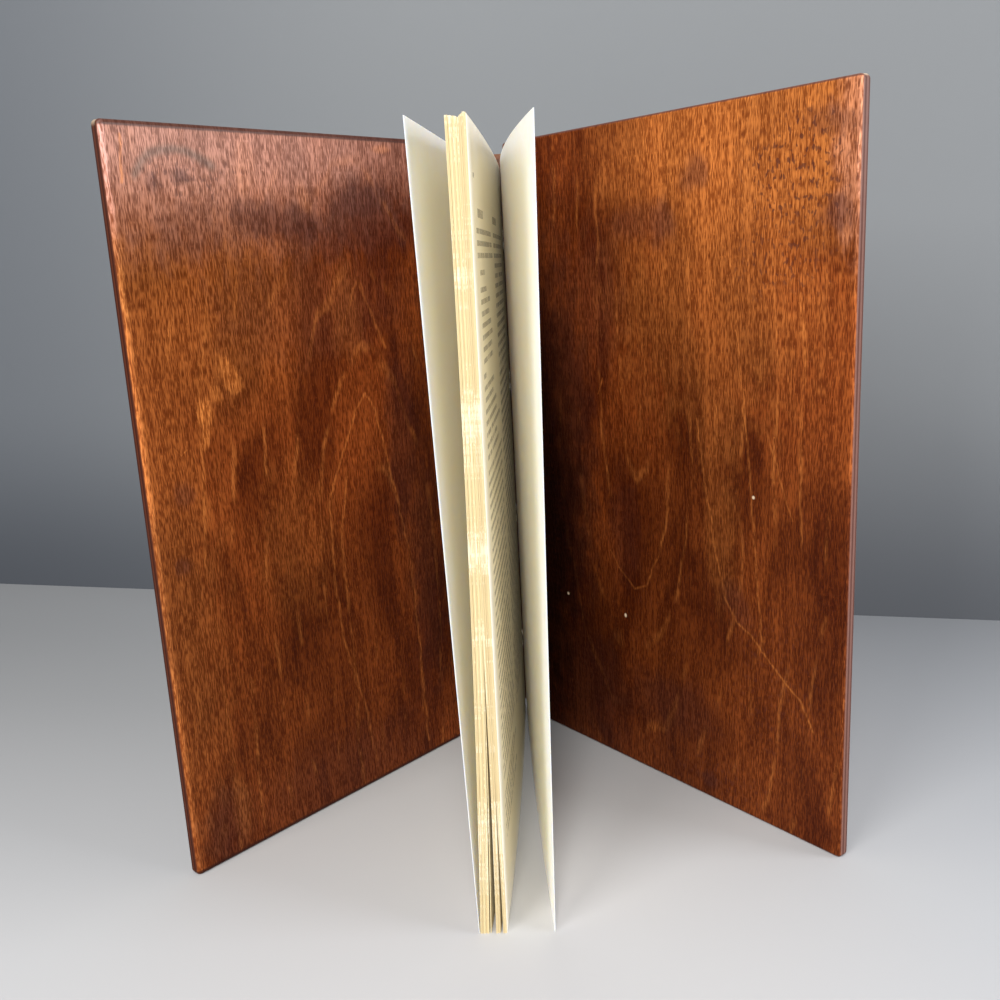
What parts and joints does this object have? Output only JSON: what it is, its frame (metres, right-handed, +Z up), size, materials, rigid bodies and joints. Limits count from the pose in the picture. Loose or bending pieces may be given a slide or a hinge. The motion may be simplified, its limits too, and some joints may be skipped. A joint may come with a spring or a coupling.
{
  "type": "open book",
  "caption": "Open book standing on its tail edge, with stained wooden cover boards, a sewn page block and free flyleaves.",
  "frame": {"origin": "foot of the sewing line, in the middle of the page block's tail, on the surface that the book stands on", "axes": "+Z up to the head of the book, -Y along the leaves to their fore-edge, +X to the right as the open book is read"},
  "size_m": [0.254, 0.1838, 0.28],
  "materials": {
    "cover_wood": "reddish-brown stain on plywood, thin satin varnish",
    "printed_paper": "uncoated cream paper, printed in grey",
    "blank_paper": "uncoated cream paper",
    "thread": "pale twisted thread",
    "leather": "dark brown, matt"
  },
  "bodies": {
    "pages": {"page_block": "printed_paper", "left_flyleaf": "blank_paper", "right_flyleaf": "blank_paper", "sewing_thread": "thread", "spine_leather": "leather"},
    "left_cover": {"left_cover": "cover_wood"},
    "right_cover": {"right_cover": "cover_wood"}
  },
  "joints": [
    {"name": "left_cover_hinge", "type": "hinge", "parent": "pages", "child": "left_cover", "pos_m": [-0.0045, 0.00252, 0], "axis": [0, 0, -1], "range_deg": [-37.2, 49.8], "deforming": ["left_flyleaf", "spine_leather"]},
    {"name": "right_cover_hinge", "type": "hinge", "parent": "pages", "child": "right_cover", "pos_m": [0.0045, 0.00252, 0], "axis": [0, 0, 1], "range_deg": [-40.2, 49.8], "deforming": ["right_flyleaf", "spine_leather"]}
  ]
}
